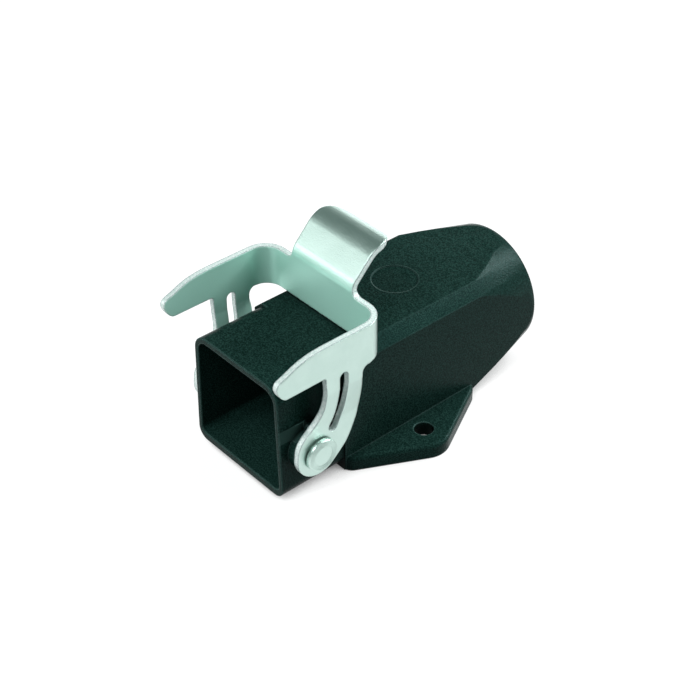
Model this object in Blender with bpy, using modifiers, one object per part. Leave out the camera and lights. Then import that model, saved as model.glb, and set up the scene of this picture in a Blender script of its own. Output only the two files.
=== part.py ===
"""Small industrial connector housing: a moulded shell with a square mouth, a round cable
entry and a two-ear flange, held shut by one bent sheet-metal locking lever on two pins.
Metres, +Z up. The origin is the centre of the flange underside; the mouth faces -Y."""

import math

import bmesh
import bpy
import numpy as np

# Sizes of the moulded housing
mouth_width = 0.0236
mouth_height = 0.0240
mouth_flare = 0.0003
mouth_top_radius = 0.0034
mouth_bottom_radius = 0.0023
mouth_side_wall = 0.0010
mouth_top_wall = 0.0012
mouth_bottom_wall = 0.0015
tube_length = 0.0143
cavity_depth = 0.0420

body_width = 0.0250
body_height = 0.0250
chamfer_width = 0.00205
chamfer_drop = 0.0019
body_edge_radius = 0.0003
flush_step = 0.00002

entry_radius = 0.01245
entry_length = 0.0165
entry_cone_length = 0.0153
entry_edge_radius = 0.0006
entry_wall = 0.00265
entry_bore_chamfer = 0.0006

flange_length = 0.0323
flange_thickness = 0.0030
flange_top_radius = 0.0007
ear_hole_spacing = 0.0318
ear_hole_radius = 0.0018
ear_radius = 0.0050
flange_corner_radius = 0.0025
flange_corner_inset = 0.0044

mark_radius = 0.0044
mark_depth = 0.0002
mark_from_ears = 0.0070

rail_height = 0.0029
rail_rise = 0.0003
rail_crest = 0.0053
rail_end = 0.0070
rail_above_pivot = 0.0029

# Sizes of the pivots
pivot_from_mouth = 0.0062
pivot_height = 0.0105
boss_radius = 0.0045
pin_radius = 0.0017
pin_head_radius = 0.0032
pin_head_thickness = 0.0008
pin_head_round = 0.0003
pin_rim = 0.0006
pin_groove_width = 0.0003
pin_groove_depth = 0.0002
pin_depth = 0.0019

# Sizes of the locking lever
sheet = 0.0012
lever_inner_width = 0.0298
lever_reach = 0.0148
lever_height = 0.0229
corner_bend_radius = 0.0040
arm_inset = 0.00115
arm_lean_angle = math.radians(9.0)
arm_bend_radius = 0.0030
arm_lean_drop = 0.0036
lever_end_radius = 0.00475
hook_reach = 0.0096
hook_drop = 0.0063
notch_radius = 0.0006
arm_back_reach = 0.00905
relief_radius = 0.0014
slot_width = 0.0019
tab_width = 0.0160
tab_fillet = 0.0014
tab_corner_radius = 0.0036
tab_upright = 0.0006
tab_lean_angle = math.radians(44.0)
tab_base_radius = 0.0030
tab_flight = 0.0043
tab_roll_radius = 0.0046
tab_droop_angle = math.radians(30.0)

# Clearances and overruns
running_gap = 0.0003
rest_gap = 0.0004
overrun = 0.0010
merge_distance = 0.00001

# Places that follow from the sizes
shoulder_y = -flange_length / 2
mouth_y = shoulder_y - tube_length
flange_back_y = flange_length / 2
entry_y = flange_back_y + entry_length
entry_height = body_height / 2
entry_bore_radius = entry_radius - entry_wall
tube_bottom = body_height + flush_step - mouth_height
pivot_y = mouth_y + pivot_from_mouth
side_x = mouth_width / 2
arm_outer_x = lever_inner_width / 2 + sheet - arm_inset
arm_inner_x = arm_outer_x - sheet
boss_x = arm_inner_x - running_gap
pin_head_x = arm_outer_x + running_gap
pin_groove_radius = pin_head_radius - pin_rim
cross_bottom = body_height + rest_gap - pivot_height
notch_height = lever_height - hook_drop
arm_lean_top = notch_height - arm_lean_drop
pivot_hole_radius = pin_radius + running_gap

# Arm back: (share of the lever's reach, share of the cross piece's height above the pivots)
arm_back_shares = (
    (0.606, 0.840), (0.616, 0.746), (0.618, 0.616), (0.609, 0.428), (0.581, 0.279),
    (0.527, 0.149), (0.449, 0.000), (0.372, -0.095))
# Arm front and slot: (share of the lever's reach, share of the notch's height above the pivots)
arm_front_shares = (
    (-0.301, 0.146), (-0.262, 0.220), (-0.200, 0.281), (-0.132, 0.328), (-0.066, 0.387),
    (0.004, 0.470), (0.053, 0.565), (0.070, 0.677), (0.070, 0.817), (0.062, 0.909))
slot_shares = (
    (0.327, 0.897), (0.326, 0.768), (0.322, 0.634), (0.303, 0.470), (0.267, 0.348), (0.216, 0.256))
# Hook outlines: (share of the hook's reach, share of its drop)
nose_shares = (
    (0.760, 0.000), (0.830, 0.020), (0.910, 0.125), (0.975, 0.290), (1.000, 0.460), (0.957, 0.595),
    (0.870, 0.660))
hook_top_shares = ((0.760, 0.719), (0.500, 0.881), (0.220, 0.971), (-0.050, 1.000))

circle_steps = 72
pin_steps = 48
corner_steps = 8
curve_steps = 3
bend_steps = 8


def new_collection(name):
    group = bpy.data.collections.new(name)
    bpy.context.scene.collection.children.link(group)
    return group


def make_material(name, colour, roughness, metallic):
    mat = bpy.data.materials.new(name)
    mat.use_nodes = True
    shader = mat.node_tree.nodes["Principled BSDF"]
    shader.inputs["Base Color"].default_value = (*colour, 1.0)
    shader.inputs["Roughness"].default_value = roughness
    shader.inputs["Metallic"].default_value = metallic
    return mat


def arc_points(centre_x, centre_y, radius, start, end, steps):
    angles = np.linspace(start, end, steps + 1)
    return [(centre_x + radius * math.cos(a), centre_y + radius * math.sin(a)) for a in angles]


def smooth_points(points, steps):
    """A Catmull-Rom curve through the points, from the first to the last."""
    pts = np.array([points[0], *points, points[-1]])
    result = []
    for i in range(1, len(pts) - 2):
        p0, p1, p2, p3 = pts[i - 1:i + 3]
        for t in np.linspace(0, 1, steps, endpoint=False):
            curve = 2 * p1 + (p2 - p0) * t
            curve += (2 * p0 - 5 * p1 + 4 * p2 - p3) * t ** 2
            curve += (3 * p1 - 3 * p2 + p3 - p0) * t ** 3
            result.append(tuple(curve / 2))
    result.append(tuple(points[-1]))
    return result


def round_corner(before, corner, after, radius, steps):
    """The points of an arc that rounds one corner of an outline."""
    corner = np.array(corner)
    to_before = np.array(before) - corner
    to_after = np.array(after) - corner
    to_before /= np.linalg.norm(to_before)
    to_after /= np.linalg.norm(to_after)
    half = math.acos(float(np.clip(to_before @ to_after, -1, 1))) / 2
    middle = (to_before + to_after) / np.linalg.norm(to_before + to_after)
    centre = corner + middle * radius / math.sin(half)
    first = corner + to_before * radius / math.tan(half) - centre
    last = corner + to_after * radius / math.tan(half) - centre
    start = math.atan2(first[1], first[0])
    sweep = (math.atan2(last[1], last[0]) - start + math.pi) % math.tau - math.pi
    return arc_points(centre[0], centre[1], radius, start, start + sweep, steps)


def hull_outline(discs, steps):
    """The outline wrapped round discs (x, y, radius) listed counter-clockwise."""
    count = len(discs)
    normals = []
    for i in range(count):
        xa, ya, ra = discs[i]
        xb, yb, rb = discs[(i + 1) % count]
        heading = math.atan2(yb - ya, xb - xa)
        normals.append(heading - math.acos((ra - rb) / math.hypot(xb - xa, yb - ya)))
    outline = []
    for i in range(count):
        x, y, radius = discs[i]
        start = normals[i - 1]
        sweep = (normals[i] - start) % math.tau
        outline += arc_points(x, y, radius, start, start + sweep, steps)
    return outline


def box_discs(half_top, half_bottom, bottom, top, top_radius, bottom_radius):
    """Corner discs, counter-clockwise, of an upright section that may taper."""
    return [
        (half_bottom - bottom_radius, bottom + bottom_radius, bottom_radius),
        (half_top - top_radius, top - top_radius, top_radius),
        (top_radius - half_top, top - top_radius, top_radius),
        (bottom_radius - half_bottom, bottom + bottom_radius, bottom_radius),
    ]


def outline_solid(name, outlines, thickness, group):
    """A flat outline with its holes, filled and given a thickness."""
    curve = bpy.data.curves.new(name, "CURVE")
    curve.dimensions = "2D"
    curve.fill_mode = "BOTH"
    curve.extrude = thickness / 2
    for points in outlines:
        spline = curve.splines.new("POLY")
        spline.points.add(len(points) - 1)
        for point, (x, y) in zip(spline.points, points):
            point.co = (x, y, 0, 1)
        spline.use_cyclic_u = True
    holder = bpy.data.objects.new(name + "_outline", curve)
    group.objects.link(holder)
    depsgraph = bpy.context.evaluated_depsgraph_get()
    mesh = bpy.data.meshes.new_from_object(holder.evaluated_get(depsgraph))
    mesh.name = name
    bm = bmesh.new()
    bm.from_mesh(mesh)
    bmesh.ops.remove_doubles(bm, verts=bm.verts, dist=merge_distance)
    bmesh.ops.recalc_face_normals(bm, faces=bm.faces)
    bm.to_mesh(mesh)
    bm.free()
    solid = bpy.data.objects.new(name, mesh)
    group.objects.link(solid)
    bpy.data.objects.remove(holder)
    bpy.data.curves.remove(curve)
    return solid


def solid_along_y(name, outlines, start_y, end_y, group):
    solid = outline_solid(name, outlines, end_y - start_y, group)
    solid.rotation_euler = (math.pi / 2, 0, 0)
    solid.location = (0, (start_y + end_y) / 2, 0)
    return solid


def turned_solid(name, profile, steps, group):
    """A profile (radius, height), listed from top to bottom, turned round its own Z."""
    mesh = bpy.data.meshes.new(name)
    verts = [(radius, 0, height) for radius, height in profile]
    edges = [(i, i + 1) for i in range(len(verts) - 1)]
    mesh.from_pydata(verts, edges, [])
    solid = bpy.data.objects.new(name, mesh)
    group.objects.link(solid)
    screw = solid.modifiers.new("Turn", "SCREW")
    screw.steps = steps
    screw.render_steps = steps
    screw.use_merge_vertices = True
    screw.merge_threshold = merge_distance
    return solid


def cylinder(name, radius, length, group):
    mesh = bpy.data.meshes.new(name)
    bm = bmesh.new()
    bmesh.ops.create_cone(
        bm, cap_ends=True, segments=circle_steps, radius1=radius, radius2=radius, depth=length)
    bm.to_mesh(mesh)
    bm.free()
    solid = bpy.data.objects.new(name, mesh)
    group.objects.link(solid)
    return solid


def combine(target, tool, operation):
    change = target.modifiers.new(tool.name, "BOOLEAN")
    change.operation = operation
    change.object = tool
    change.solver = "EXACT"


def make_guide(solid):
    solid.hide_render = True
    solid.display_type = "WIRE"


def shade(solid, angle):
    solid.data.shade_smooth()
    solid.data.set_sharp_from_angle(angle=angle)


def body_block(group):
    """The square body with two chamfered upper edges, running back to the cable entry."""
    half = body_width / 2
    r = body_edge_radius
    low = flush_step
    discs = [
        (half - r, low + r, r),
        (half - r, body_height - chamfer_drop - r, r),
        (half - chamfer_width - r, body_height - r, r),
        (chamfer_width + r - half, body_height - r, r),
        (r - half, body_height - chamfer_drop - r, r),
        (r - half, low + r, r),
    ]
    outline = hull_outline(discs, corner_steps // 4)
    return solid_along_y("housing_body", [outline], shoulder_y, entry_y + overrun, group)


def entry_envelope(group):
    """The cone that trims the square body down to the round cable entry."""
    edge_x = body_width / 2 - chamfer_width
    edge_z = body_height - entry_height
    square_radius = math.hypot(edge_x, edge_z)
    slope = (square_radius - entry_radius) / entry_cone_length
    wide = math.hypot(body_width / 2, entry_height) + overrun
    wide_y = entry_y - (wide - entry_radius) / slope
    r = entry_edge_radius
    profile = [(0, entry_y)]
    rounding = arc_points(entry_radius - r, entry_y - r, r, math.pi / 2, 0, corner_steps // 2)
    profile += rounding
    profile += [(wide, wide_y), (wide, shoulder_y - overrun), (0, shoulder_y - overrun)]
    tool = turned_solid("entry_envelope", profile, circle_steps, group)
    tool.rotation_euler = (-math.pi / 2, 0, 0)
    tool.location = (0, 0, entry_height)
    return tool


def mouth_tube(group):
    """The rounded square tube round the insert, a little wider at its foot."""
    discs = box_discs(
        side_x - mouth_flare, side_x + mouth_flare, tube_bottom, tube_bottom + mouth_height,
        mouth_top_radius, mouth_bottom_radius)
    return solid_along_y(
        "mouth_tube", [hull_outline(discs, corner_steps)], mouth_y, shoulder_y + overrun, group)


def flange_plate(group):
    """The mounting flange: blunt ears round the screw holes, its upper edge rounded."""
    ear_x = ear_hole_spacing / 2
    corner_x = ear_x - flange_corner_inset
    corner_y = flange_length / 2 - flange_corner_radius
    discs = [
        (ear_x, 0, ear_radius),
        (corner_x, corner_y, flange_corner_radius),
        (-corner_x, corner_y, flange_corner_radius),
        (-ear_x, 0, ear_radius),
        (-corner_x, -corner_y, flange_corner_radius),
        (corner_x, -corner_y, flange_corner_radius),
    ]
    plate = outline_solid("flange_plate", [hull_outline(discs, corner_steps)], flange_thickness, group)
    plate.location = (0, 0, flange_thickness / 2)
    bm = bmesh.new()
    bm.from_mesh(plate.data)
    bmesh.ops.dissolve_limit(bm, angle_limit=math.radians(1), verts=bm.verts, edges=bm.edges)
    rim = []
    for edge in bm.edges:
        upper = all(vert.co.z > flange_thickness / 4 for vert in edge.verts)
        if upper and edge.is_manifold and edge.calc_face_angle() > math.radians(45):
            rim.append(edge)
    bmesh.ops.bevel(
        bm, geom=rim, offset=flange_top_radius, segments=corner_steps // 2, profile=0.5, affect="EDGES")
    bm.to_mesh(plate.data)
    bm.free()
    return plate


def pivot_boss(name, side, group):
    foot_x = side_x - mouth_side_wall / 2
    boss = cylinder(name, boss_radius, boss_x - foot_x, group)
    boss.rotation_euler = (0, math.pi / 2, 0)
    boss.location = (side * (boss_x + foot_x) / 2, pivot_y, pivot_height)
    return boss


def guide_rail(name, side, group):
    """A low ramp from the mouth rim, rising along the tube side and falling back into it."""
    root_x = side_x - mouth_side_wall / 2
    flush_x = side_x - mouth_flare / 2
    points = [
        (root_x, rest_gap),
        (flush_x, rest_gap),
        (side_x + rail_rise, rail_crest),
        (root_x, rail_end),
    ]
    points = [(side * x, mouth_y + y) for x, y in points]
    rail = outline_solid(name, [points], rail_height, group)
    rail.location = (0, 0, pivot_height + rail_above_pivot + rail_height / 2)
    return rail


def insert_cavity(group):
    """The square hollow behind the mouth, with even walls round it."""
    discs = box_discs(
        side_x - mouth_flare - mouth_side_wall, side_x + mouth_flare - mouth_side_wall,
        tube_bottom + mouth_bottom_wall, tube_bottom + mouth_height - mouth_top_wall,
        mouth_top_radius - mouth_side_wall, mouth_bottom_radius - mouth_side_wall)
    return solid_along_y(
        "insert_cavity", [hull_outline(discs, corner_steps)],
        mouth_y - overrun, mouth_y + cavity_depth, group)


def entry_bore(group):
    """The round bore of the cable entry, opening into the cavity."""
    start_y = mouth_y + cavity_depth - overrun
    wide = entry_bore_radius + entry_bore_chamfer + overrun
    profile = [
        (0, entry_y + overrun),
        (wide, entry_y + overrun),
        (entry_bore_radius, entry_y - entry_bore_chamfer),
        (entry_bore_radius, start_y),
        (0, start_y),
    ]
    tool = turned_solid("entry_bore", profile, circle_steps, group)
    tool.rotation_euler = (-math.pi / 2, 0, 0)
    tool.location = (0, 0, entry_height)
    return tool


def ear_hole(name, side, group):
    hole = cylinder(name, ear_hole_radius, flange_thickness + overrun * 2, group)
    hole.location = (side * ear_hole_spacing / 2, 0, flange_thickness / 2)
    return hole


def mark_recess(group):
    recess = cylinder("mark_recess", mark_radius, mark_depth * 2, group)
    recess.location = (0, mark_from_ears, body_height)
    return recess


def pin_bore(name, side, group):
    """The blind bore in a boss that takes the foot of a pivot pin."""
    bore = cylinder(name, pivot_hole_radius, (pin_depth + running_gap) * 2, group)
    bore.rotation_euler = (0, math.pi / 2, 0)
    bore.location = (side * boss_x, pivot_y, pivot_height)
    return bore


def build_housing(parts, cutters):
    body = body_block(parts)
    joins = [mouth_tube(cutters), flange_plate(cutters)]
    cuts = [insert_cavity(cutters), entry_bore(cutters), mark_recess(cutters)]
    for side, label in ((1, "right"), (-1, "left")):
        joins.append(pivot_boss("pivot_boss_" + label, side, cutters))
        joins.append(guide_rail("guide_rail_" + label, side, cutters))
        cuts.append(ear_hole("ear_hole_" + label, side, cutters))
        cuts.append(pin_bore("pin_bore_" + label, side, cutters))
    combine(body, entry_envelope(cutters), "INTERSECT")
    for tool in joins:
        combine(body, tool, "UNION")
    for tool in cuts:
        combine(body, tool, "DIFFERENCE")
    for tool in cutters.objects:
        make_guide(tool)
    shade(body, math.radians(30))
    body.data.materials.append(make_material("black_plastic", (0.018, 0.020, 0.020), 0.45, 0.0))
    return body


# Places on the flat blank of the lever: s runs along the sheet from the middle of the cross
# piece, t is the height above the pivots.
side_mid_x = lever_inner_width / 2 + sheet / 2
cross_half = side_mid_x - corner_bend_radius
corner_arc = corner_bend_radius * math.pi / 2
side_start = cross_half + corner_arc
cross_mid_y = lever_reach - sheet / 2
bend_end_y = cross_mid_y - corner_bend_radius
lean_inset = arm_inset - 2 * arm_bend_radius * (1 - math.cos(arm_lean_angle))
lean_length = lean_inset / math.sin(arm_lean_angle)
lean_arc = arm_bend_radius * arm_lean_angle
lean_blank = lean_length + 2 * lean_arc
lean_fall = lean_length * math.cos(arm_lean_angle) + 2 * arm_bend_radius * math.sin(arm_lean_angle)
tab_start = lever_height + tab_upright
tab_base_arc = tab_base_radius * tab_lean_angle
tab_roll_angle = math.pi / 2 - tab_lean_angle + tab_droop_angle
tab_roll_arc = tab_roll_radius * tab_roll_angle
tab_length = tab_upright + tab_base_arc + tab_flight + tab_roll_arc


def on_blank(y, z):
    """Where a point of the folded side plate lies on the flat blank."""
    share = min(max((arm_lean_top - z) / lean_fall, 0), 1)
    return (side_start + bend_end_y - y, z - share * (lean_blank - lean_fall))


def arm_outline():
    """From the back of the arm, round its lower end, up to the notch under the hook."""
    back = [on_blank(u * lever_reach, v * cross_bottom) for u, v in arm_back_shares]
    front = [on_blank(u * lever_reach, v * notch_height) for u, v in arm_front_shares]
    pivot_s, pivot_t = on_blank(0, 0)
    foot = arc_points(
        pivot_s, pivot_t, lever_end_radius, math.radians(232), math.radians(370), corner_steps * 2)
    behind = smooth_points(back + foot[:1], curve_steps) + foot[1:-1]
    return behind, smooth_points(foot[-1:] + front, curve_steps)


def hook_outline():
    """From the notch under the hook, round its nose, back along the upper edge."""
    below = on_blank(arm_front_shares[-1][0] * lever_reach, arm_front_shares[-1][1] * notch_height)
    notch = on_blank(arm_front_shares[-1][0] * lever_reach, notch_height)
    edge = [
        on_blank(-hook_reach * u, notch_height + v * hook_drop) for u, v in nose_shares + hook_top_shares]
    outline = round_corner(below, notch, edge[0], notch_radius, corner_steps // 2)
    outline += smooth_points(edge, curve_steps)
    return outline


def relief_outline():
    """The rounded inner corner between the lower edge of the cross piece and the arm."""
    corner = on_blank(arm_back_reach, cross_bottom)
    below = on_blank(arm_back_shares[0][0] * lever_reach, arm_back_shares[0][1] * cross_bottom)
    return round_corner((cross_half, cross_bottom), corner, below, relief_radius, corner_steps)


def tab_outline():
    """From the upper edge of the cross piece, up one side of the tab, to its middle."""
    half = tab_width / 2
    end = lever_height + tab_length
    outline = arc_points(
        half + tab_fillet, lever_height + tab_fillet, tab_fillet,
        -math.pi / 2, -math.pi, corner_steps // 2)
    outline += arc_points(
        half - tab_corner_radius, end - tab_corner_radius, tab_corner_radius,
        0, math.pi / 2, corner_steps)
    outline.append((0, end))
    return outline


def slot_outline():
    """The curved slot in the arm, of one width from end to end, with round ends."""
    middle = [on_blank(u * lever_reach, v * notch_height) for u, v in slot_shares]
    line = np.array(smooth_points(middle, curve_steps))
    along = np.gradient(line, axis=0)
    along /= np.linalg.norm(along, axis=1)[:, None]
    across = np.stack([-along[:, 1], along[:, 0]], axis=1)
    half = slot_width / 2
    ends = []
    for place, heading in ((line[-1], along[-1]), (line[0], -along[0])):
        angle = math.atan2(heading[1], heading[0])
        ends.append(arc_points(
            place[0], place[1], half, angle + math.pi / 2, angle - math.pi / 2, corner_steps))
    one = [tuple(p) for p in line + across * half]
    other = [tuple(p) for p in (line - across * half)[::-1]]
    return one[:-1] + ends[0] + other[1:-1] + ends[1][:-1]


def lever_outlines():
    back, front = arm_outline()
    half = [(0, cross_bottom)] + relief_outline() + back + front + hook_outline()
    half += tab_outline()
    mirrored = [(-s, t) for s, t in half[-2:0:-1]]
    slot = slot_outline()
    pivot_s, pivot_t = on_blank(0, 0)
    hole = arc_points(pivot_s, pivot_t, pivot_hole_radius, 0, math.tau, pin_steps)[:-1]
    outlines = [half + mirrored]
    for side in (1, -1):
        outlines.append([(side * s, t) for s, t in slot])
        outlines.append([(side * s, t) for s, t in hole])
    return outlines


def follow_bends(length, bends):
    """Along a path of straights and arcs: sideways, forward and heading at each length.

    bends lists (length, turn); each turn is spread evenly over its length."""
    sideways = np.zeros_like(length)
    forward = np.zeros_like(length)
    heading = np.zeros_like(length)
    angle = 0.0
    for span, turn in bends:
        here = np.clip(length, 0, span)
        if turn:
            radius = span / turn
            new = angle + here / radius
            sideways += radius * (math.cos(angle) - np.cos(new))
            forward += radius * (np.sin(new) - math.sin(angle))
            heading += here / radius
        else:
            sideways += here * math.sin(angle)
            forward += here * math.cos(angle)
        length = length - span
        angle += turn
    rest = np.clip(length, 0, None)
    sideways += rest * math.sin(angle)
    forward += rest * math.cos(angle)
    return sideways, forward, heading


def fold_blank(s, t, n):
    """Folds points of the flat blank; n is the distance outside its middle surface."""
    side = np.sign(s)
    a = np.abs(s)
    inward, forward, turn = follow_bends(a, [(cross_half, 0.0), (corner_arc, math.pi / 2)])
    x = forward + n * np.sin(turn)
    y = cross_mid_y - inward + n * np.cos(turn)
    z = t.copy()
    lean = follow_bends(
        arm_lean_top - t,
        [(lean_arc, arm_lean_angle), (lean_length, 0.0), (lean_arc, -arm_lean_angle)])
    arm = t < arm_lean_top
    x = np.where(arm, side_mid_x - lean[0] + n * np.cos(lean[2]), x)
    z = np.where(arm, arm_lean_top - lean[1] - n * np.sin(lean[2]), z)
    roll = follow_bends(
        t - tab_start,
        [(tab_base_arc, tab_lean_angle), (tab_flight, 0.0), (tab_roll_arc, tab_roll_angle)])
    tab = (t > tab_start) & (a < cross_half)
    y = np.where(tab, cross_mid_y + roll[0] + n * np.cos(roll[2]), y)
    z = np.where(tab, tab_start + roll[1] - n * np.sin(roll[2]), z)
    return side * x, y, z


def bend_lines():
    """The lines of the blank along which its bent zones are divided: (axis, place)."""
    lines = []
    for place in np.linspace(cross_half, side_start, bend_steps + 1):
        lines += [("s", place), ("s", -place)]
    for start in (arm_lean_top, arm_lean_top - lean_arc - lean_length):
        for place in np.linspace(start, start - lean_arc, 3):
            lines.append(("t", place))
    for place in np.linspace(tab_start, tab_start + tab_base_arc, bend_steps):
        lines.append(("t", place))
    roll_start = tab_start + tab_base_arc + tab_flight
    for place in np.linspace(roll_start, roll_start + tab_roll_arc, bend_steps + 4)[:-1]:
        lines.append(("t", place))
    return lines


def build_lever(parts):
    """The lever as it is made: a flat blank with its slots and holes, folded up."""
    lever = outline_solid("locking_lever", lever_outlines(), sheet, parts)
    bm = bmesh.new()
    bm.from_mesh(lever.data)
    for axis, place in bend_lines():
        point = (place, 0, 0) if axis == "s" else (0, place, 0)
        normal = (1, 0, 0) if axis == "s" else (0, 1, 0)
        everything = bm.verts[:] + bm.edges[:] + bm.faces[:]
        bmesh.ops.bisect_plane(
            bm, geom=everything, plane_co=point, plane_no=normal, dist=merge_distance / 10)
    bmesh.ops.triangulate(bm, faces=bm.faces)
    bm.to_mesh(lever.data)
    bm.free()
    count = len(lever.data.vertices)
    flat = np.empty(count * 3, dtype=np.float32)
    lever.data.vertices.foreach_get("co", flat)
    s, t, n = flat.reshape(count, 3).T.astype(np.float64)
    folded = np.stack(fold_blank(s, t, n), axis=1)
    lever.data.vertices.foreach_set("co", folded.ravel())
    lever.data.update()
    bm = bmesh.new()
    bm.from_mesh(lever.data)
    bmesh.ops.recalc_face_normals(bm, faces=bm.faces)
    bm.to_mesh(lever.data)
    bm.free()
    lever.location = (0, pivot_y, pivot_height)
    shade(lever, math.radians(30))
    lever.data.materials.append(make_material("zinc_plated_steel", (0.62, 0.66, 0.64), 0.28, 1.0))
    return lever


def build_pin(name, side, parts, steel):
    """A pivot pin: a low head with a turned groove, and a shank held in the boss."""
    top = pin_head_x + pin_head_thickness
    r = pin_head_round
    groove = pin_groove_width / 2
    profile = [
        (0, top),
        (pin_groove_radius - groove, top),
        (pin_groove_radius, top - pin_groove_depth),
        (pin_groove_radius + groove, top),
    ]
    profile += arc_points(pin_head_radius - r, top - r, r, math.pi / 2, 0, corner_steps // 2)
    profile += [
        (pin_head_radius, pin_head_x),
        (pin_radius, pin_head_x),
        (pin_radius, boss_x - pin_depth),
        (0, boss_x - pin_depth),
    ]
    pin = turned_solid(name, profile, pin_steps, parts)
    pin.rotation_euler = (0, side * math.pi / 2, 0)
    pin.location = (0, pivot_y, pivot_height)
    shade(pin, math.radians(30))
    pin.data.materials.append(steel)
    return pin


def build_connector_housing():
    parts = new_collection("connector_housing")
    cutters = new_collection("cutters")
    build_housing(parts, cutters)
    build_lever(parts)
    for side, label in ((1, "right"), (-1, "left")):
        steel = make_material("pin_steel_" + label, (0.60, 0.63, 0.61), 0.30, 1.0)
        build_pin("pivot_pin_" + label, side, parts, steel)


for leftover in list(bpy.data.objects):
    bpy.data.objects.remove(leftover)
build_connector_housing()
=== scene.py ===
import math

import bmesh
import bpy
import numpy as np
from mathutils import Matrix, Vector
from mathutils.bvhtree import BVHTree


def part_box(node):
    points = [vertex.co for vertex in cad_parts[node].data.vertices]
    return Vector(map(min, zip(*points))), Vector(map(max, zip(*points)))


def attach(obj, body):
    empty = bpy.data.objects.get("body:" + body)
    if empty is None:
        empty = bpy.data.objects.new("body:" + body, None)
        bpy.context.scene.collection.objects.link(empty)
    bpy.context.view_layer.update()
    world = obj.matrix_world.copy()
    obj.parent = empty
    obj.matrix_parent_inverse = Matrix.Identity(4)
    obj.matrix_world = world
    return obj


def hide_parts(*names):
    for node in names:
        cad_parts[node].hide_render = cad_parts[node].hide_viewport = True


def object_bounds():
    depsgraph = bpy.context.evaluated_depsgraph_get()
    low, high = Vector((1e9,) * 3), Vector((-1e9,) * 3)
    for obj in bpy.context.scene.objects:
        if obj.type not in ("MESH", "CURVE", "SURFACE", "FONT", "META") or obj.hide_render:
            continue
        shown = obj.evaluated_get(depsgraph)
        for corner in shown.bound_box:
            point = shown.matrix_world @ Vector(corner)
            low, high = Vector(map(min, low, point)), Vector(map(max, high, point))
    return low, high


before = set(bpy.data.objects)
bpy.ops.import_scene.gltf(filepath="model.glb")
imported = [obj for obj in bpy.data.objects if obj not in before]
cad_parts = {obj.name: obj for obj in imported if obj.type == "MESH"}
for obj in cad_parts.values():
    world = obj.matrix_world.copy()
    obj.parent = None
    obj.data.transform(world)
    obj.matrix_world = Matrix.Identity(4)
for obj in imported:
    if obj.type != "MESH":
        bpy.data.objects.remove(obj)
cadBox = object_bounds()
print("frame loaded")


# Small helpers for node trees

def newMaterial(name):
    material = bpy.data.materials.new(name)
    material.use_nodes = True
    return material, material.node_tree, material.node_tree.nodes["Principled BSDF"]


def addNode(tree, kind, values=None, **settings):
    node = tree.nodes.new(kind)
    for key, value in settings.items():
        setattr(node, key, value)
    for key, value in (values or {}).items():
        node.inputs[key].default_value = value
    return node


def wire(tree, *pairs):
    for start, end in pairs:
        tree.links.new(start, end)


def newGroup(name, inputs, outputs):
    # inputs: name, socket kind, default; outputs: name, socket kind
    group = bpy.data.node_groups.new(name, "ShaderNodeTree")
    for label, kind, default in inputs:
        socket = group.interface.new_socket(label, in_out="INPUT", socket_type=kind)
        socket.default_value = default
    for label, kind in outputs:
        group.interface.new_socket(label, in_out="OUTPUT", socket_type=kind)
    return group, group.nodes.new("NodeGroupInput"), group.nodes.new("NodeGroupOutput")


def useGroup(tree, group, values):
    return addNode(tree, "ShaderNodeGroup", values, node_tree=group)


def mixColour(tree, factor, first, second):
    # factor is a socket; first and second are sockets or plain colours
    node = addNode(tree, "ShaderNodeMix", data_type="RGBA")
    wire(tree, (factor, node.inputs[0]))
    for socket, colour in ((node.inputs[6], first), (node.inputs[7], second)):
        if hasattr(colour, "links"):
            wire(tree, (colour, socket))
        else:
            socket.default_value = colour
    return node.outputs[2]


# Shader groups shared by the finishes

# noise detail, and the part of the fine noise that is spread into the mask
grainShape = {
    "fineDetail": 2.0,
    "fineRoughness": 0.6,
    "coarseDetail": 3.0,
    "coarseRoughness": 0.55,
    "maskFrom": 0.42,
    "maskTo": 0.62,
}


def makeGrainGroup():
    # a fine noise gives the height and, narrowed to a harder contrast, the mask; a coarse noise
    # gives the patches
    shape = grainShape
    group, source, sink = newGroup(
        "surfaceGrain",
        [("Grain Size", "NodeSocketFloat", 3500.0), ("Patch Size", "NodeSocketFloat", 300.0)],
        [("Height", "NodeSocketFloat"), ("Mask", "NodeSocketFloat"), ("Patches", "NodeSocketFloat")])
    place = addNode(group, "ShaderNodeTexCoord")
    fine = addNode(group, "ShaderNodeTexNoise",
                   {"Detail": shape["fineDetail"], "Roughness": shape["fineRoughness"]})
    coarse = addNode(group, "ShaderNodeTexNoise",
                     {"Detail": shape["coarseDetail"], "Roughness": shape["coarseRoughness"]})
    narrow = addNode(group, "ShaderNodeMapRange",
                     {"From Min": shape["maskFrom"], "From Max": shape["maskTo"]}, clamp=True)
    wire(group,
         (place.outputs["Object"], fine.inputs["Vector"]),
         (place.outputs["Object"], coarse.inputs["Vector"]),
         (source.outputs["Grain Size"], fine.inputs["Scale"]),
         (source.outputs["Patch Size"], coarse.inputs["Scale"]),
         (fine.outputs["Fac"], narrow.inputs["Value"]),
         (fine.outputs["Fac"], sink.inputs["Height"]),
         (narrow.outputs["Result"], sink.inputs["Mask"]),
         (coarse.outputs["Fac"], sink.inputs["Patches"]))
    return group


# how well two normals match (the cosine between them) on a flat face and on a fully turned edge
edgeShape = {
    "samples": 4,
    "flatMatch": 0.995,
    "turnedMatch": 0.90,
}


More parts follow.
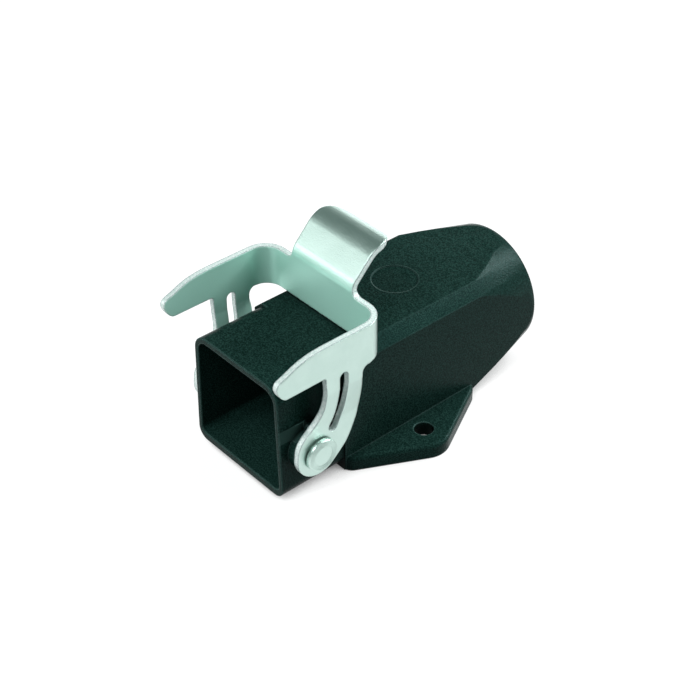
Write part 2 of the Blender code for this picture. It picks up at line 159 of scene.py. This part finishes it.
def makeEdgeGroup():
    # how far the surface turns within a small radius: a mask of rounded edges, and the normal that
    # rounds them; on the plastic the mask carries a painted highlight on the edges
    group, source, sink = newGroup(
        "edgeTurnMask",
        [("Radius", "NodeSocketFloat", 0.0004), ("Amount", "NodeSocketFloat", 1.0)],
        [("Mask", "NodeSocketFloat"), ("Normal", "NodeSocketVector")])
    bevel = addNode(group, "ShaderNodeBevel", samples=edgeShape["samples"])
    flat = addNode(group, "ShaderNodeNewGeometry")
    compare = addNode(group, "ShaderNodeVectorMath", operation="DOT_PRODUCT")
    mask = addNode(group, "ShaderNodeMapRange",
                   {"From Min": edgeShape["flatMatch"], "From Max": edgeShape["turnedMatch"]}, clamp=True)
    scale = addNode(group, "ShaderNodeMath", operation="MULTIPLY")
    wire(group,
         (source.outputs["Radius"], bevel.inputs["Radius"]),
         (bevel.outputs["Normal"], compare.inputs[0]),
         (flat.outputs["Normal"], compare.inputs[1]),
         (compare.outputs["Value"], mask.inputs["Value"]),
         (mask.outputs["Result"], scale.inputs[0]),
         (source.outputs["Amount"], scale.inputs[1]),
         (scale.outputs["Value"], sink.inputs["Mask"]),
         (bevel.outputs["Normal"], sink.inputs["Normal"]))
    return group


shadeSamples = 8


def makeShadeGroup():
    # how closely other surfaces stand in front of this one: 1 in the open, 0 deep in a corner
    group, source, sink = newGroup(
        "cornerShade",
        [("Distance", "NodeSocketFloat", 0.001), ("Closed", "NodeSocketFloat", 0.3),
         ("Open", "NodeSocketFloat", 0.8)],
        [("Mask", "NodeSocketFloat")])
    shade = addNode(group, "ShaderNodeAmbientOcclusion", samples=shadeSamples)
    spread = addNode(group, "ShaderNodeMapRange", clamp=True)
    wire(group,
         (source.outputs["Distance"], shade.inputs["Distance"]),
         (shade.outputs["AO"], spread.inputs["Value"]),
         (source.outputs["Closed"], spread.inputs["From Min"]),
         (source.outputs["Open"], spread.inputs["From Max"]),
         (spread.outputs["Result"], sink.inputs["Mask"]))
    return group


grainGroup = makeGrainGroup()
edgeGroup = makeEdgeGroup()
shadeGroup = makeShadeGroup()
print("shader groups ready")


# Finishes

# reaches, radii and the places of the painted highlight strip are in metres
mouldedPlastic = {
    "deep": (0.0035, 0.0150, 0.0122, 1.0),
    "light": (0.0150, 0.0440, 0.0372, 1.0),
    "edgeHighlight": (0.0950, 0.1800, 0.1650, 1.0),
    # painted highlight: the paler tone of turned edges, standing in for the light they catch
    "bandHighlight": (0.0300, 0.0640, 0.0570, 1.0),
    # painted shade in inside corners
    "corner": (0.0010, 0.0040, 0.0034, 1.0),
    # painted shade deep in hollows such as the mouth
    "hollow": (0.0004, 0.0012, 0.0010, 1.0),
    "roughness": 0.22,
    "roughnessDown": 0.03,
    "roughnessUp": 0.05,
    "patchLow": 0.3,
    "patchHigh": 0.7,
    "grainSize": 3900.0,
    "patchSize": 140.0,
    "grainHeight": 0.00006,
    "specular": 0.035,
    "bump": 0.9,
    "tint": (0.30, 1.0, 0.95, 1.0),
    "edgeRadius": 0.00032,
    "edgeAmount": 0.8,
    "cornerReach": 0.0004,
    "hollowReach": 0.014,
    "hollowClosed": 0.20,
    "hollowOpen": 0.60,
    "bandCentre": 0.01485,
    "bandHalf": 0.00145,
    "bandFront": -0.0260,
    "bandBack": -0.0225,
    "bandSide": 0.0117,
    "bandSoft": 0.00012,
}


def bandHighlightMask(tree, look):
    # 1 on a strip along each side of the mouth, fading backwards: the place of a painted highlight
    place = addNode(tree, "ShaderNodeTexCoord")
    split = addNode(tree, "ShaderNodeSeparateXYZ")
    height = addNode(tree, "ShaderNodeMath", {1: look["bandCentre"]}, operation="SUBTRACT")
    offset = addNode(tree, "ShaderNodeMath", operation="ABSOLUTE")
    side = addNode(tree, "ShaderNodeMath", operation="ABSOLUTE")
    within = addNode(tree, "ShaderNodeMapRange",
                     {"From Min": look["bandHalf"], "From Max": look["bandHalf"] - look["bandSoft"]})
    outside = addNode(tree, "ShaderNodeMapRange",
                      {"From Min": look["bandSide"] - look["bandSoft"], "From Max": look["bandSide"]})
    ahead = addNode(tree, "ShaderNodeMapRange",
                    {"From Min": look["bandBack"], "From Max": look["bandFront"]})
    first = addNode(tree, "ShaderNodeMath", operation="MULTIPLY")
    both = addNode(tree, "ShaderNodeMath", operation="MULTIPLY")
    wire(tree,
         (place.outputs["Object"], split.inputs["Vector"]),
         (split.outputs["Z"], height.inputs[0]),
         (height.outputs["Value"], offset.inputs[0]),
         (split.outputs["X"], side.inputs[0]),
         (offset.outputs["Value"], within.inputs["Value"]),
         (side.outputs["Value"], outside.inputs["Value"]),
         (split.outputs["Y"], ahead.inputs["Value"]),
         (within.outputs["Result"], first.inputs[0]),
         (outside.outputs["Result"], first.inputs[1]),
         (first.outputs["Value"], both.inputs[0]),
         (ahead.outputs["Result"], both.inputs[1]))
    return both.outputs["Value"]


def makePlastic():
    # spark-eroded mould texture: grain in colour, in gloss and in height; a painted highlight on the
    # edges, painted shade in inside corners and hollows, and a painted highlight strip on each side of
    # the mouth
    look = mouldedPlastic
    material, tree, shader = newMaterial("texturedBlackPlastic")
    grain = useGroup(tree, grainGroup, {"Grain Size": look["grainSize"], "Patch Size": look["patchSize"]})
    edge = useGroup(tree, edgeGroup, {"Radius": look["edgeRadius"], "Amount": look["edgeAmount"]})
    corner = useGroup(tree, shadeGroup, {"Distance": look["cornerReach"]})
    hollow = useGroup(tree, shadeGroup,
                      {"Distance": look["hollowReach"], "Closed": look["hollowClosed"],
                       "Open": look["hollowOpen"]})
    base = mixColour(tree, grain.outputs["Mask"], look["deep"], look["light"])
    # painted highlight strip along each side of the mouth
    withBandHighlight = mixColour(tree, bandHighlightMask(tree, look), base, look["bandHighlight"])
    # painted highlight on the turned edges
    edgeToned = mixColour(tree, edge.outputs["Mask"], withBandHighlight, look["edgeHighlight"])
    # painted shade: darker in inside corners
    withCornerShade = mixColour(tree, corner.outputs["Mask"], look["corner"], edgeToned)
    # painted shade: darker in deep hollows
    shaded = mixColour(tree, hollow.outputs["Mask"], look["hollow"], withCornerShade)
    rough = addNode(tree, "ShaderNodeMapRange",
                    {"From Min": look["patchLow"], "From Max": look["patchHigh"],
                     "To Min": look["roughness"] - look["roughnessDown"],
                     "To Max": look["roughness"] + look["roughnessUp"]})
    bump = addNode(tree, "ShaderNodeBump", {"Strength": look["bump"], "Distance": look["grainHeight"]})
    shader.inputs["Specular IOR Level"].default_value = look["specular"]
    shader.inputs["Specular Tint"].default_value = look["tint"]
    wire(tree,
         (shaded, shader.inputs["Base Color"]),
         (grain.outputs["Patches"], rough.inputs["Value"]),
         (rough.outputs["Result"], shader.inputs["Roughness"]),
         (grain.outputs["Height"], bump.inputs["Height"]),
         (edge.outputs["Normal"], bump.inputs["Normal"]),
         (bump.outputs["Normal"], shader.inputs["Normal"]))
    return material


# the tone inside the bow is a painted reflection, standing in for the light the arms throw on each
# other; the cut ones belong to the sheared edges
platedSteel = {
    "bright": (0.575, 0.735, 0.680, 1.0),
    "dull": (0.540, 0.700, 0.645, 1.0),
    "innerReflection": (0.500, 0.880, 0.760, 1.0),
    "cutBurr": (0.060, 0.120, 0.140, 1.0),
    "cutDull": (0.640, 0.780, 0.750, 1.0),
    "cutPale": (0.880, 0.960, 0.940, 1.0),
    "cutGrain": 2900.0,
    "cutPatch": 900.0,
    "metallicOpen": 0.92,
    "metallicEnclosed": 0.30,
    "metallicCut": 0.25,
    "roughness": 0.34,
    "roughnessDown": 0.05,
    "roughnessUp": 0.07,
    "patchLow": 0.35,
    "patchHigh": 0.65,
    "grainSize": 4400.0,
    "patchSize": 260.0,
    "grainHeight": 0.00004,
    "bump": 0.9,
    "edgeRadius": 0.00045,
    "edgeAmount": 0.9,
}

turnedSteel = dict(platedSteel, bump=0.04)  # turned heads are smoother


def makeSteel(name, look):
    # zinc plate: a fine mottle in tone and gloss over a slightly pebbled surface; inside the bow a
    # painted reflection, matter and greener; streaked pale and dark on its sheared edges
    material, tree, shader = newMaterial(name)
    grain = useGroup(tree, grainGroup, {"Grain Size": look["grainSize"], "Patch Size": look["patchSize"]})
    streaks = useGroup(tree, grainGroup, {"Grain Size": look["cutGrain"], "Patch Size": look["cutPatch"]})
    edge = useGroup(tree, edgeGroup, {"Radius": look["edgeRadius"], "Amount": look["edgeAmount"]})
    cut = addNode(tree, "ShaderNodeAttribute", attribute_name="cutEdge")
    inner = addNode(tree, "ShaderNodeAttribute", attribute_name="innerSide")
    patches = addNode(tree, "ShaderNodeMapRange",
                      {"From Min": look["patchLow"], "From Max": look["patchHigh"]}, clamp=True)
    base = mixColour(tree, patches.outputs["Result"], look["bright"], look["dull"])
    # painted reflection: a greener tone on faces inside the bow
    withInnerReflection = mixColour(tree, inner.outputs["Fac"], base, look["innerReflection"])
    sheared = mixColour(tree, streaks.outputs["Mask"], look["cutDull"], look["cutPale"])
    sheet = mixColour(tree, cut.outputs["Fac"], withInnerReflection, sheared)
    border = mixColour(tree, cut.outputs["Fac"], look["bright"], look["cutBurr"])
    edgeToned = mixColour(tree, edge.outputs["Mask"], sheet, border)
    rough = addNode(tree, "ShaderNodeMapRange",
                    {"To Min": look["roughness"] - look["roughnessDown"],
                     "To Max": look["roughness"] + look["roughnessUp"]})
    bump = addNode(tree, "ShaderNodeBump", {"Strength": look["bump"], "Distance": look["grainHeight"]})
    metal = addNode(tree, "ShaderNodeMapRange",
                    # the painted reflection is also less metallic inside the bow
                    {"To Min": look["metallicOpen"], "To Max": look["metallicEnclosed"]})
    metalCut = addNode(tree, "ShaderNodeMapRange", {"To Max": look["metallicCut"]})
    wire(tree,
         (inner.outputs["Fac"], metal.inputs["Value"]),
         (cut.outputs["Fac"], metalCut.inputs["Value"]),
         (metal.outputs["Result"], metalCut.inputs["To Min"]),
         (metalCut.outputs["Result"], shader.inputs["Metallic"]),
         (grain.outputs["Patches"], patches.inputs["Value"]),
         (edgeToned, shader.inputs["Base Color"]),
         (grain.outputs["Mask"], rough.inputs["Value"]),
         (rough.outputs["Result"], shader.inputs["Roughness"]),
         (grain.outputs["Height"], bump.inputs["Height"]),
         (edge.outputs["Normal"], bump.inputs["Normal"]),
         (bump.outputs["Normal"], shader.inputs["Normal"]))
    return material


plastic = makePlastic()
steel = makeSteel("zincPlatedSheet", platedSteel)
pinSteel = makeSteel("zincPlatedPin", turnedSteel)
print("finishes ready")


# Moulded shell and bent lever

def placePiece(mesh, pieceName, body, material, slot, *nodeNames):
    mesh.materials.clear()
    mesh.materials.append(material)
    piece = bpy.data.objects.new(pieceName, mesh)
    bpy.context.scene.collection.objects.link(piece)
    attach(piece, body)
    if nodeNames:
        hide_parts(*nodeNames)
    return piece


def markSheetFaces(bm, look):
    # a face with more than the sheet's thickness behind it lies on a sheared edge; of the others,
    # one that looks towards the middle of the bow lies on the inner side
    tree = BVHTree.FromBMesh(bm)
    cutLayer = bm.faces.layers.float.new("cutEdge")
    innerLayer = bm.faces.layers.float.new("innerSide")
    skin = look["sheet"] * look["skinShare"]
    through = look["sheet"] * look["throughShare"]
    for face in bm.faces:
        place = face.calc_center_median()
        hit = tree.ray_cast(place - face.normal * skin, -face.normal)[3]
        face[cutLayer] = 1.0 if hit is None or hit > through else 0.0
        # the inner side carries the painted reflection of the steel finish
        towards = face.normal.dot((Vector(look["middle"]) - place).normalized())
        face[innerLayer] = min(max(look["innerSlope"] * towards, 0.0), 1.0)


def weighCorners(bm, look):
    # an outer corner is rounded where it is sharp enough, both faces beside it leave room for
    # that and no edge at its ends is too short
    layer = bm.edges.layers.float.new("bevel_weight_edge")
    limit = math.radians(look["bevelAngle"])
    for edge in bm.edges:
        if edge.is_convex and edge.calc_face_angle() > limit:
            room = min(face.calc_area() for face in edge.link_faces) / edge.calc_length()
            beside = [other.calc_length() for vert in edge.verts for other in vert.link_edges]
            wide = room > look["room"] and min(beside) > look["shortest"]
            edge[layer] = 1.0 if wide else 0.0


def dressedCopy(nodeName, pieceName, body, material, slot, look):
    # the solid's own shape, its triangles joined, its corners rounded off by a narrow bevel
    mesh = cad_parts[nodeName].data.copy()
    mesh.name = pieceName
    bm = bmesh.new()
    bm.from_mesh(mesh)
    bmesh.ops.remove_doubles(bm, verts=bm.verts, dist=look["merge"])
    if "sheet" in look:
        markSheetFaces(bm, look)
    flat = math.radians(look["flatAngle"])
    bmesh.ops.dissolve_limit(bm, angle_limit=flat, verts=bm.verts, edges=bm.edges)
    weighCorners(bm, look)
    bm.to_mesh(mesh)
    bm.free()
    mesh.shade_smooth()
    mesh.set_sharp_from_angle(angle=math.radians(look["sharpAngle"]))
    piece = placePiece(mesh, pieceName, body, material, slot, nodeName)
    bevel = piece.modifiers.new("roundedCorners", "BEVEL")
    bevel.width = look["rounding"]
    bevel.segments = look["roundSteps"]
    bevel.limit_method = "WEIGHT"
    bevel.use_clamp_overlap = False
    shading = piece.modifiers.new("evenShading", "WEIGHTED_NORMAL")  # wide faces stay flat
    shading.mode = "FACE_AREA"
    shading.weight = look["flatWeight"]
    shading.keep_sharp = True


# angles in degrees, lengths in metres; room is the least width of a face beside a rounded corner
shellLook = {
    "merge": 2e-6,
    "flatAngle": 0.4,
    "sharpAngle": 24,
    "bevelAngle": 30,
    "rounding": 0.00014,
    "roundSteps": 2,
    "room": 0.0004,
    "shortest": 0.0001,
    "flatWeight": 60,
}

# sheet is its thickness, middle a point inside the bow
leverLook = {
    "merge": 2e-6,
    "flatAngle": 0.4,
    "sharpAngle": 24,
    "bevelAngle": 40,
    "rounding": 0.00009,
    "roundSteps": 2,
    "room": 0.0003,
    "shortest": 0.0,
    "flatWeight": 60,
    "sheet": 0.0012,
    "skinShare": 0.01,
    "throughShare": 1.2,
    "middle": (0.0, -0.026, 0.016),
    "innerSlope": 2.0,
}

dressedCopy("housing_body", "mouldedShell", "shell", plastic, "black_plastic", shellLook)
dressedCopy("locking_lever", "bentLever", "lever", steel, "plated_steel", leverLook)
print("shell and lever ready")


# Turned surfaces: pins and entry thread

poleMerge = 1e-7


def ringMesh(name, grid, closed):
    # grid: rows along the profile, columns round the axis, xyz; closed joins last row to first,
    # otherwise the first and last rows shrink to one point each at the poles
    rows, columns = grid.shape[:2]
    points = grid.reshape(-1, 3)
    row = np.arange(rows if closed else rows - 1)[:, None]
    column = np.arange(columns)[None, :]
    after = (row + 1) % rows
    beside = (column + 1) % columns
    faces = np.stack([row * columns + column, row * columns + beside,
                      after * columns + beside, after * columns + column], axis=-1).reshape(-1, 4)
    mesh = bpy.data.meshes.new(name)
    mesh.from_pydata(points.tolist(), [], faces.tolist())
    bm = bmesh.new()
    bm.from_mesh(mesh)
    bmesh.ops.remove_doubles(bm, verts=bm.verts, dist=poleMerge)
    bmesh.ops.recalc_face_normals(bm, faces=bm.faces)
    bm.to_mesh(mesh)
    bm.free()
    mesh.shade_smooth()
    return mesh


pivotPin = {
    "shankRadius": 0.0017,
    "headRadius": 0.0032,
    "rounding": 0.0003,
    "stepRadii": (0.00275, 0.00240, 0.00205),
    "stepDrop": 0.00012,
    "stepWidth": 0.00016,
    "headLength": 0.0008,
    "sharpAngle": 50,
    "rimSteps": 7,
    "faceSteps": 60,
    "steps": 96,
}


def pinProfile(foot, headInner, headOuter):
    # from the axis at the foot, along the shank, out under the head, round its rim by a quarter
    # circle, then inwards over a face with ring grooves: each groove is one wave of a cosine
    look = pivotPin
    rim = look["rounding"]
    turn = np.linspace(0.0, math.pi / 2, look["rimSteps"])
    rimRadius = look["headRadius"] - rim + rim * np.cos(turn)
    rimPlace = headOuter - rim + rim * np.sin(turn)
    faceRadius = np.linspace(look["headRadius"] - rim, 0.0, look["faceSteps"])[1:]
    groove = np.zeros_like(faceRadius)
    for radius in look["stepRadii"]:
        near = np.clip(1.0 - np.abs(faceRadius - radius) / look["stepWidth"], 0.0, 1.0)
        groove += look["stepDrop"] * (0.5 - 0.5 * np.cos(math.pi * near))
    radii = np.concatenate([[0.0, look["shankRadius"], look["shankRadius"], look["headRadius"]],
                            rimRadius, faceRadius])
    places = np.concatenate([[foot, foot, headInner, headInner], rimPlace, headOuter - groove])
    return radii, places


def makePin(nodeName, pieceName, side):
    # the profile turned about the line of the pins: x = its place on that line, y and z = centre
    # plus radius times cosine and sine of the angle
    low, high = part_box(nodeName)
    centre = [(a + b) / 2 for a, b in zip(low, high)]
    ends = sorted((abs(low[0]), abs(high[0])))
    radii, places = pinProfile(ends[0], ends[1] - pivotPin["headLength"], ends[1])
    angle = np.linspace(0.0, 2 * math.pi, pivotPin["steps"], endpoint=False)
    grid = np.stack([np.broadcast_to(side * places[:, None], (len(places), len(angle))),
                     centre[1] + radii[:, None] * np.cos(angle),
                     centre[2] + radii[:, None] * np.sin(angle)], axis=-1)
    mesh = ringMesh(pieceName, grid, False)
    mesh.set_sharp_from_angle(angle=math.radians(pivotPin["sharpAngle"]))
    placePiece(mesh, pieceName, "shell", pinSteel, "plated_steel", nodeName)


makePin("pivot_pin_right", "pivotHeadRight", 1)
makePin("pivot_pin_left", "pivotHeadLeft", -1)

entryThread = {
    "wall": 0.00978,
    "root": 0.00975,
    "depth": 0.00055,
    "pitch": 0.0015,
    "first": 0.0175,
    "last": 0.0318,
    "axisHeight": 0.0125,
    "fade": 0.0015,
    "crestRise": 1.25,
    "flankSlope": 2.5,
    "stepsRound": 120,
    "stepsPerPitch": 10,
}


def makeThread():
    # radius at angle a and place y = root minus depth times a triangle wave, cut flat at the top, of
    # y / pitch - a / turn, faded in and out over one fade length at the ends; a plain outer wall
    # closes the sleeve
    look = entryThread
    count = int((look["last"] - look["first"]) / look["pitch"] * look["stepsPerPitch"]) + 1
    place = np.linspace(look["first"], look["last"], count)[:, None]
    angle = np.linspace(0.0, 2 * math.pi, look["stepsRound"], endpoint=False)[None, :]
    phase = (place / look["pitch"] - angle / (2 * math.pi)) % 1.0
    crest = np.clip(look["crestRise"] - look["flankSlope"] * np.abs(phase - 0.5), 0.0, 1.0)
    room = np.minimum(place - look["first"], look["last"] - place)
    fade = np.clip(room / look["fade"], 0.0, 1.0)
    inner = look["root"] - look["depth"] * crest * fade
    outer = np.full((2, look["stepsRound"]), look["wall"])
    radius = np.concatenate([inner, outer])
    along = np.concatenate([place[:, 0], [look["last"], look["first"]]])
    grid = np.stack([radius * np.cos(angle),
                     np.broadcast_to(along[:, None], radius.shape),
                     look["axisHeight"] + radius * np.sin(angle)], axis=-1)
    mesh = ringMesh("entryThread", grid, True)
    placePiece(mesh, "entryThread", "shell", plastic, "black_plastic")


makeThread()
print("pins and thread ready")


# Studio

studio = {
    "worldLevel": 0.11,
    "worldColour": (0.60, 1.00, 0.90, 1.0),
    "floorSize": 3.0,
    "floorColour": (0.20, 0.204, 0.204, 1.0),
    "floorDim": (0.197, 0.20094, 0.20094, 1.0),
    "floorRoughness": 0.9,
    "floorSpecular": 0.1,
    "cloudSize": 2.0,
    "cloudDetail": 2.0,
    "floorGap": 0.0001,
    "floorGlow": (0.86, 0.86, 0.86, 1.0),
    "farGlow": (1.0, 1.0, 1.0, 1.0),
    "fadeFrom": 0.12,
    "fadeTo": 0.60,
    "coverReach": 0.012,
    "coverClosed": 0.05,
    "coverOpen": 0.45,
    "lampTarget": (0.0, 0.0, 0.015),
}

# place, size and power of each soft lamp; all of them look at the middle of the object
lamps = {
    "frontLeft": {"place": (-0.53, -0.64, 0.31), "size": (0.70, 0.44), "power": 2.3},
    "backSoft": {"place": (0.14, 0.63, 0.38), "size": (0.24, 0.20), "power": 5.6},
    "backRight": {"place": (0.47, 0.36, 0.54), "size": (0.20, 0.20), "power": 1.4},
    "backLeft": {"place": (-0.55, 0.68, 0.13), "size": (0.60, 0.24), "power": 1.0},
    "overhead": {"place": (0.05, -0.55, 0.78), "size": (0.50, 0.50), "power": 6.2},
}


def makeFloor():
    # the floor glows for the camera and in the metal: less near the object, so that it takes the
    # shadow, and fully further out, where it meets the white behind it; where the object covers it the
    # glow is taken away altogether, a painted shadow
    half = studio["floorSize"] / 2
    mesh = bpy.data.meshes.new("floor")
    level = cadBox[0][2] - studio["floorGap"]
    corners = [(-half, -half, level), (half, -half, level), (half, half, level), (-half, half, level)]
    mesh.from_pydata(corners, [], [(0, 1, 2, 3)])
    floor = bpy.data.objects.new("floor", mesh)
    bpy.context.scene.collection.objects.link(floor)
    material, tree, shader = newMaterial("paleFloor")
    shader.inputs["Roughness"].default_value = studio["floorRoughness"]
    shader.inputs["Specular IOR Level"].default_value = studio["floorSpecular"]
    shader.inputs["Emission Strength"].default_value = 1.0
    cloud = addNode(tree, "ShaderNodeTexNoise",
                    {"Scale": studio["cloudSize"], "Detail": studio["cloudDetail"]})
    place = addNode(tree, "ShaderNodeTexCoord")
    colour = mixColour(tree, cloud.outputs["Fac"], studio["floorDim"], studio["floorColour"])
    reach = addNode(tree, "ShaderNodeVectorMath", operation="LENGTH")
    fade = addNode(tree, "ShaderNodeMapRange",
                   {"From Min": studio["fadeFrom"], "From Max": studio["fadeTo"]})
    glow = mixColour(tree, fade.outputs["Result"], studio["floorGlow"], studio["farGlow"])
    path = addNode(tree, "ShaderNodeLightPath")
    seen = addNode(tree, "ShaderNodeMath", operation="MAXIMUM")
    # painted shadow: the glow is taken away where the object covers the floor
    coverShadow = useGroup(tree, shadeGroup,
                     {"Distance": studio["coverReach"], "Closed": studio["coverClosed"],
                      "Open": studio["coverOpen"]})
    shown = addNode(tree, "ShaderNodeMath", operation="MULTIPLY")
    wire(tree,
         (place.outputs["Object"], cloud.inputs["Vector"]),
         (place.outputs["Object"], reach.inputs[0]),
         (reach.outputs["Value"], fade.inputs["Value"]),
         (path.outputs["Is Camera Ray"], seen.inputs[0]),
         (path.outputs["Is Glossy Ray"], seen.inputs[1]),
         (seen.outputs["Value"], shown.inputs[0]),
         (coverShadow.outputs["Mask"], shown.inputs[1]),
         (colour, shader.inputs["Base Color"]),
         (mixColour(tree, shown.outputs["Value"], (0.0, 0.0, 0.0, 1.0), glow),
          shader.inputs["Emission Color"]))
    mesh.materials.append(material)


def makeLamp(name, values):
    data = bpy.data.lights.new(name, "AREA")
    data.shape = "RECTANGLE"
    data.size, data.size_y = values["size"]
    data.energy = values["power"]
    lamp = bpy.data.objects.new(name, data)
    bpy.context.scene.collection.objects.link(lamp)
    lamp.location = values["place"]
    heading = Vector(studio["lampTarget"]) - lamp.location
    lamp.rotation_euler = heading.to_track_quat("-Z", "Y").to_euler()


def makeWorld():
    # white where the camera looks past the floor, a weak cool fill for everything else
    world = bpy.data.worlds.new("studioWorld")
    world.use_nodes = True
    tree = world.node_tree
    background = tree.nodes["Background"]
    path = addNode(tree, "ShaderNodeLightPath")
    white = (1.0, 1.0, 1.0, 1.0)
    level = addNode(tree, "ShaderNodeMapRange", {"To Min": studio["worldLevel"], "To Max": 1.0})
    colour = mixColour(tree, path.outputs["Is Camera Ray"], studio["worldColour"], white)
    wire(tree,
         (colour, background.inputs["Color"]),
         (path.outputs["Is Camera Ray"], level.inputs["Value"]),
         (level.outputs["Result"], background.inputs["Strength"]))
    bpy.context.scene.world = world


makeFloor()
for lampName, lampValues in lamps.items():
    makeLamp(lampName, lampValues)
makeWorld()

cameraView = {
    "place": (0.168141, -0.151565, 0.184993),
    "turn": (52.6213, 0.1694, 48.6037),
    "lens": 78.575,
    "sensor": 36.0,
    "nearest": 0.01,
}
cameraData = bpy.data.cameras.new("photoCamera")
cameraData.lens = cameraView["lens"]
cameraData.sensor_width = cameraView["sensor"]
cameraData.clip_start = cameraView["nearest"]
camera = bpy.data.objects.new("photoCamera", cameraData)
bpy.context.scene.collection.objects.link(camera)
camera.location = cameraView["place"]
camera.rotation_euler = [math.radians(a) for a in cameraView["turn"]]
bpy.context.scene.camera = camera
bpy.context.scene.view_settings.view_transform = "Standard"
print("studio ready")
